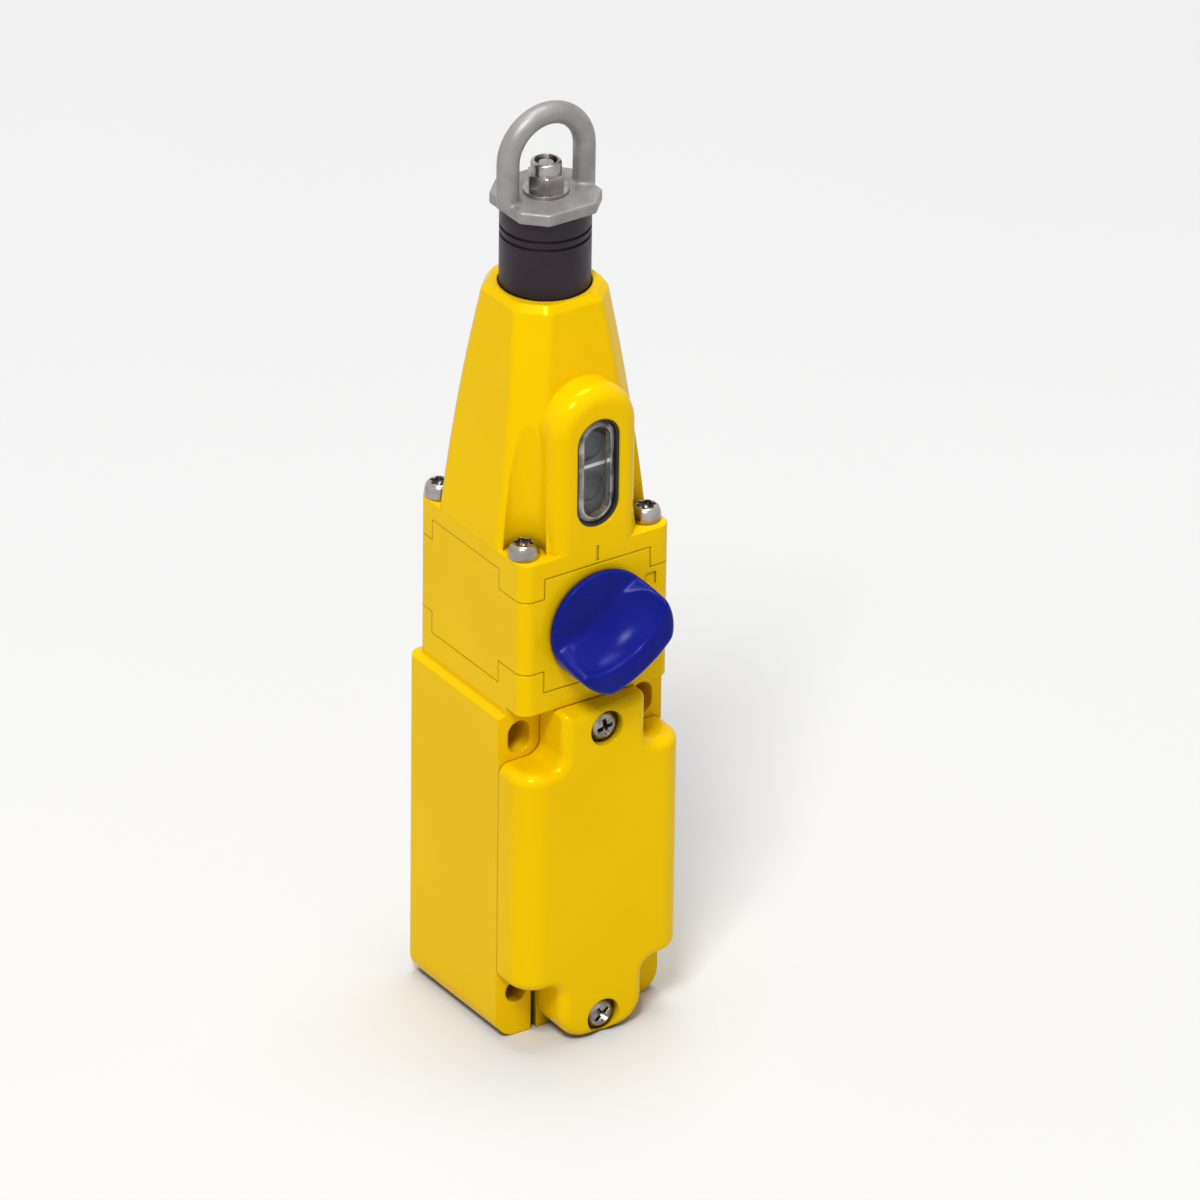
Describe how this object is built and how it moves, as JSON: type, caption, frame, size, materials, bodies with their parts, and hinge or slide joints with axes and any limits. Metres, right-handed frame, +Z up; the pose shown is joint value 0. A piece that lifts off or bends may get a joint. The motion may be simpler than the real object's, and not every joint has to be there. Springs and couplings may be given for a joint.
{
  "type": "rope-pull safety switch with reset knob",
  "caption": "Yellow die-cast rope-pull safety switch with a blue reset knob, a tension window in a tapered head and a sprung steel pull eye.",
  "frame": {"origin": "centre of the cable entry in the bottom face, on the pull axis", "axes": "+Z up along the pull axis towards the eye, -Y to the front with the cover, window and knob, +X to the right seen from the front"},
  "size_m": [0.04, 0.0501, 0.2049],
  "materials": {
    "yellow_enamel": "gloss",
    "blue_plastic": "gloss",
    "black_plastic": "satin",
    "dark_indicator": "satin",
    "white_print": "matte",
    "clear_lens": "gloss",
    "black_rubber": "matte",
    "grey_coated_steel": "satin",
    "stainless": "satin",
    "spring_steel": "satin",
    "brass": "satin",
    "cream_moulding": "matte"
  },
  "bodies": {
    "housing": {"base_housing": "yellow_enamel", "front_cover": "yellow_enamel", "knob_housing": "yellow_enamel", "head_housing": "yellow_enamel", "cover_gasket": "black_rubber", "lower_gasket": "black_rubber", "upper_gasket": "black_rubber", "window_gasket": "black_rubber", "window_lens": "clear_lens", "cover_screws": "stainless", "head_screws": "stainless", "guide_bush": "brass", "sleeve_wiper": "black_rubber", "knob_bush": "brass", "knob_seal": "black_rubber", "lever_pin": "stainless", "contact_block": "cream_moulding", "fixed_contacts": "brass", "terminal_clamps": "stainless", "terminal_screws": "stainless", "block_screws": "stainless", "earth_screw": "brass", "earth_washer": "brass"},
    "eye": {"pull_shaft": "stainless", "shaft_clip": "spring_steel", "indicator_carrier": "dark_indicator", "indicator_line": "white_print", "main_spring": "spring_steel", "sleeve": "black_plastic", "pull_eye": "grey_coated_steel", "eye_washer": "stainless", "eye_nut": "stainless"},
    "knob": {"reset_knob": "blue_plastic", "knob_spindle": "stainless", "reset_cam": "black_plastic", "spindle_clip": "spring_steel"},
    "lever": {"rocker_lever": "stainless"},
    "plunger": {"contact_plunger": "cream_moulding", "contact_bridges": "brass", "return_spring": "spring_steel"}
  },
  "joints": [
    {"name": "eye_pull", "type": "slide", "parent": "housing", "child": "eye", "axis": [0, 0, 1], "range_m": [0, 0.008], "stiffness_N_per_m": 12000, "springref_m": -0.002, "deforming": ["main_spring"]},
    {"name": "knob_turn", "type": "hinge", "parent": "housing", "child": "knob", "pos_m": [0, -0.0204, 0.0957], "axis": [0, 1, 0], "range_deg": [0, 90]},
    {"name": "lever_swing", "type": "hinge", "parent": "housing", "child": "lever", "pos_m": [0, 0.0128, 0.097], "axis": [-1, 0, 0], "range_deg": [0, 36.43]},
    {"name": "plunger_lift", "type": "slide", "parent": "housing", "child": "plunger", "axis": [0, 0, 1], "range_m": [0, 0.003], "deforming": ["return_spring"]}
  ],
  "couplings": [
    {"joint": "lever_swing", "follows": "eye_pull", "rad_per_m": 79.456},
    {"joint": "plunger_lift", "follows": "eye_pull", "ratio": 0.375}
  ]
}
